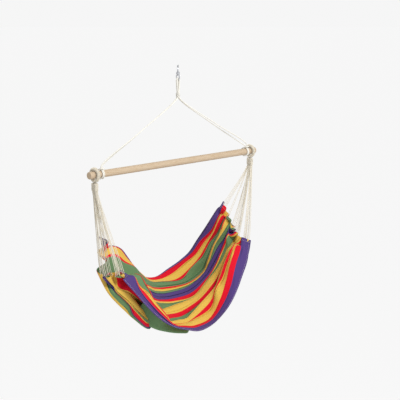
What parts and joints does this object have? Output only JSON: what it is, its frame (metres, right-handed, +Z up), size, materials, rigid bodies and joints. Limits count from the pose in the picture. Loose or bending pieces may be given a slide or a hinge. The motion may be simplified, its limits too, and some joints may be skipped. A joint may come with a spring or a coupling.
{
  "type": "hammock chair",
  "caption": "Hanging hammock chair: a striped cloth seat slung by cords from a wooden spreader bar, a rope bridle and a steel swivel.",
  "frame": {"origin": "the top of the swivel bow's opening, where the bow bears on the hook that holds it up", "axes": "+X along the spreader bar, +Y from the seat's open front to its back, +Z up"},
  "size_m": [1, 0.4026, 1.1597],
  "materials": {
    "steel": "satin",
    "wood": "matte",
    "rope": "matte",
    "cord": "matte",
    "cloth": "matte"
  },
  "bodies": {
    "swivel_bow": {"swivel_bow": "steel"},
    "swivel_eye": {"swivel_eye": "steel"},
    "bridle": {"bridle_rope": "rope", "bridle_seizing": "rope", "spreader_bar": "wood"},
    "sling": {"left_eye_core": "cord", "left_eye_serving": "cord", "left_neck_whipping": "cord", "right_eye_core": "cord", "right_eye_serving": "cord", "right_neck_whipping": "cord", "seat_cloth": "cloth", "left_cord_01": "cord", "left_cord_02": "cord", "left_cord_03": "cord", "left_cord_04": "cord", "left_cord_05": "cord", "left_cord_06": "cord", "left_cord_07": "cord", "left_cord_08": "cord", "left_cord_09": "cord", "left_cord_10": "cord", "left_cord_11": "cord", "left_cord_12": "cord", "left_cord_13": "cord", "left_cord_14": "cord", "right_cord_01": "cord", "right_cord_02": "cord", "right_cord_03": "cord", "right_cord_04": "cord", "right_cord_05": "cord", "right_cord_06": "cord", "right_cord_07": "cord", "right_cord_08": "cord", "right_cord_09": "cord", "right_cord_10": "cord", "right_cord_11": "cord", "right_cord_12": "cord", "right_cord_13": "cord", "right_cord_14": "cord"}
  },
  "joints": [
    {"name": "swivel_turn", "type": "hinge", "parent": "swivel_bow", "child": "swivel_eye", "pos_m": [0, 0, -0.031], "axis": [0, 0, 1], "continuous": true},
    {"name": "bridle_sway", "type": "hinge", "parent": "swivel_eye", "child": "bridle", "pos_m": [0, 0, -0.0567], "axis": [0, 1, 0], "range_deg": [-12, 12]},
    {"name": "sling_swing", "type": "hinge", "parent": "bridle", "child": "sling", "pos_m": [0, 0, -0.411], "axis": [1, 0, 0], "range_deg": [-30, 30]}
  ]
}
